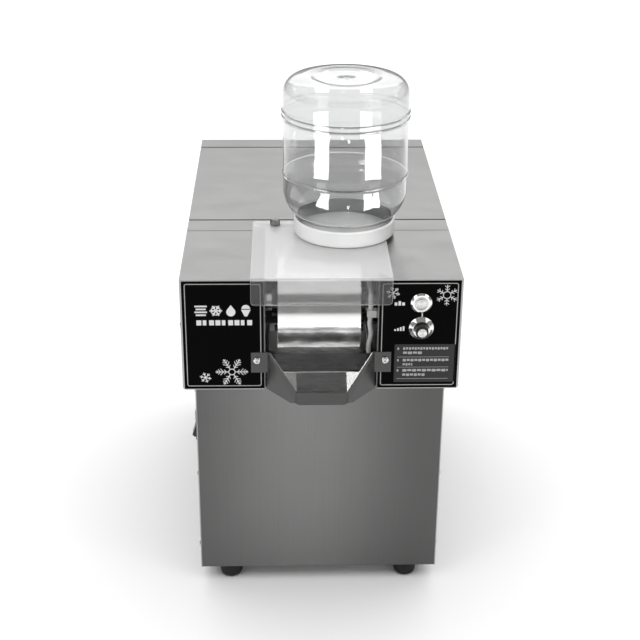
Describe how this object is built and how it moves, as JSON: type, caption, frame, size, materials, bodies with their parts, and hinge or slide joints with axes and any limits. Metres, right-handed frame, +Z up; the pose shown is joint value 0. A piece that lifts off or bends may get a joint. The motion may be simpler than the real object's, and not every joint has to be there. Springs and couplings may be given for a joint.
{
  "type": "shaved ice machine",
  "caption": "Countertop drum ice shaver: steel head with freezing drum, snow chute, black control fascias and inverted clear milk jar on a narrower refrigeration cabinet with rubber feet.",
  "frame": {"origin": "on the ground, under the middle of the overall box; the feet stand on z = 0", "axes": "+Z up, +X to the machine's right as seen from the front, +Y from the front with the chute towards the back"},
  "size_m": [0.3048, 0.518, 0.5879],
  "materials": {
    "stainless": "brushed stainless sheet",
    "bright_steel": "polished steel",
    "dark_steel": "satin stainless, bent and cut",
    "black_panel": "gloss black acrylic",
    "frosted_acrylic": "frosted clear acrylic",
    "clear_pet": "clear blown plastic",
    "white_plastic": "moulded white plastic",
    "black_rubber": "moulded rubber",
    "black_plastic": "moulded black plastic",
    "white_nylon": "machined nylon",
    "galvanised": "zinc-coated sheet",
    "black_paint": "black enamel",
    "motor_grey": "grey enamel",
    "aluminium": "milled aluminium",
    "copper": "drawn copper",
    "hose_clear": "silicone hose"
  },
  "bodies": {
    "housing": {"base_pan": "galvanised", "rubber_feet": "black_rubber", "corner_posts": "galvanised", "lower_front_panel": "stainless", "lower_left_panel": "stainless", "lower_right_panel": "stainless", "lower_back_panel": "stainless", "deck_plate": "stainless", "compressor": "black_paint", "compressor_grommets": "black_rubber", "condenser": "aluminium", "fan_shroud": "galvanised", "fan_motor": "motor_grey", "filter_drier": "copper", "discharge_pipe": "copper", "liquid_pipe": "copper", "suction_pipe": "copper", "control_box": "galvanised", "run_capacitor": "white_nylon", "drain_hose": "hose_clear", "rocker_housing": "black_plastic", "power_inlet": "black_plastic", "pan_head_screws": "bright_steel", "head_left_shell": "stainless", "head_right_shell": "stainless", "head_back_panel": "stainless", "top_crossbar": "stainless", "rear_lid": "stainless", "pocket_rear_wall": "stainless", "pocket_left_wall": "stainless", "pocket_right_wall": "stainless", "left_fascia": "black_panel", "right_fascia": "black_panel", "chute": "dark_steel", "blade_holder": "dark_steel", "scraper_blade": "dark_steel", "blade_screws": "bright_steel", "drip_tray": "stainless", "bearing_blocks": "white_nylon", "rotary_joint": "aluminium", "gear_motor": "motor_grey", "motor_bracket": "galvanised", "milk_tray": "white_plastic", "start_button_body": "bright_steel", "speed_control_body": "bright_steel"},
    "drum": {"drum_shell": "bright_steel", "drum_end_caps": "dark_steel", "drum_shaft": "bright_steel", "driven_gear": "white_nylon"},
    "pinion": {"pinion_gear": "bright_steel"},
    "fan": {"fan_blades": "black_plastic"},
    "start_button": {"start_button_cap": "bright_steel"},
    "speed_knob": {"speed_knob": "black_plastic"},
    "rocker": {"rocker_paddle": "black_plastic"},
    "cover": {"acrylic_cover": "frosted_acrylic"},
    "thumb_screw": {"cover_thumb_screw": "bright_steel"},
    "jar_cap": {"bottle_cap": "white_plastic", "valve_spring": "bright_steel"},
    "jar": {"bottle": "clear_pet"},
    "plunger": {"valve_plunger": "white_plastic"}
  },
  "joints": [
    {"name": "drum_spin", "type": "hinge", "parent": "housing", "child": "drum", "pos_m": [0, -0.141, 0.343], "axis": [1, 0, 0], "continuous": true},
    {"name": "pinion_spin", "type": "hinge", "parent": "housing", "child": "pinion", "pos_m": [0.078, -0.09388, 0.343], "axis": [1, 0, 0], "continuous": true},
    {"name": "fan_spin", "type": "hinge", "parent": "housing", "child": "fan", "pos_m": [0.095, -0.001, 0.13], "axis": [1, 0, 0], "continuous": true},
    {"name": "start_button_press", "type": "slide", "parent": "housing", "child": "start_button", "axis": [0, 1, 0], "range_m": [0, 0.0025], "stiffness_N_per_m": 400, "springref_m": -0.0015},
    {"name": "speed_knob_turn", "type": "hinge", "parent": "housing", "child": "speed_knob", "pos_m": [0.1069, -0.231, 0.3482], "axis": [0, 1, 0], "range_deg": [0, 270]},
    {"name": "power_rocker_tip", "type": "hinge", "parent": "housing", "child": "rocker", "pos_m": [-0.14, -0.164, 0.2025], "axis": [0, -1, 0], "range_deg": [0, 18]},
    {"name": "cover_lift", "type": "slide", "parent": "housing", "child": "cover", "axis": [0, 0, 1], "range_m": [0, 0.08]},
    {"name": "thumb_screw_turn", "type": "hinge", "parent": "cover", "child": "thumb_screw", "pos_m": [-0.0495, -0.07, 0.408], "axis": [0, 0, 1], "range_deg": [0, 720]},
    {"name": "jar_lift", "type": "slide", "parent": "cover", "child": "jar_cap", "axis": [0, 0, 1], "range_m": [0, 0.15]},
    {"name": "jar_unscrew", "type": "hinge", "parent": "jar_cap", "child": "jar", "pos_m": [0.029, -0.088, 0.425], "axis": [0, 0, 1], "range_deg": [0, 540]},
    {"name": "valve_push", "type": "slide", "parent": "jar_cap", "child": "plunger", "axis": [0, 0, 1], "range_m": [0, 0.004], "stiffness_N_per_m": 150, "springref_m": -0.003, "deforming": ["valve_spring"]}
  ],
  "couplings": [
    {"joint": "pinion_spin", "follows": "drum_spin", "ratio": -4}
  ]
}
